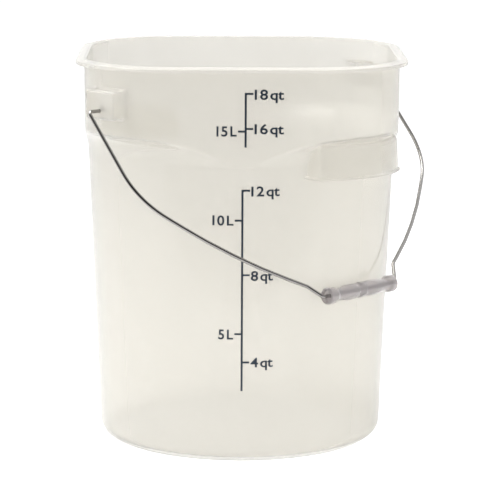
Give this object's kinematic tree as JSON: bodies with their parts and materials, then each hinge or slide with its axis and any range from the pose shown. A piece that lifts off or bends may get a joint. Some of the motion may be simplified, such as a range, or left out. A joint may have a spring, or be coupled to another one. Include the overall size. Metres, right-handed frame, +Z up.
{
  "type": "dough proofing container",
  "caption": "Translucent pail with a round lower body, a square rolled rim, moulded finger grips, a printed volume scale and a wire bail with a plastic grip.",
  "frame": {"origin": "middle of the flat underside of the container", "axes": "+Z up; -Y is the side with the printed scale; the bail's axis runs along the X = Y diagonal"},
  "size_m": [0.3101, 0.3101, 0.34],
  "materials": {
    "translucent_plastic": "satin, milky translucent",
    "wire": "bright drawn steel wire",
    "grip_plastic": "satin, slightly translucent",
    "ink": "screen-printed ink"
  },
  "bodies": {
    "pail": {"container": "translucent_plastic", "finger_grip_right": "translucent_plastic", "finger_grip_left": "translucent_plastic", "volume_scale": "ink"},
    "bail": {"bail": "wire"},
    "grip": {"bail_grip": "grip_plastic"}
  },
  "joints": [
    {"name": "bail_swing", "type": "hinge", "parent": "pail", "child": "bail", "pos_m": [0, 0, 0.3018], "axis": [-0.7071, -0.7071, 0], "range_deg": [0, 277]},
    {"name": "grip_spin", "type": "hinge", "parent": "bail", "child": "grip", "pos_m": [0.0971, -0.0971, 0.14558], "axis": [-0.7071, -0.7071, 0], "continuous": true}
  ]
}
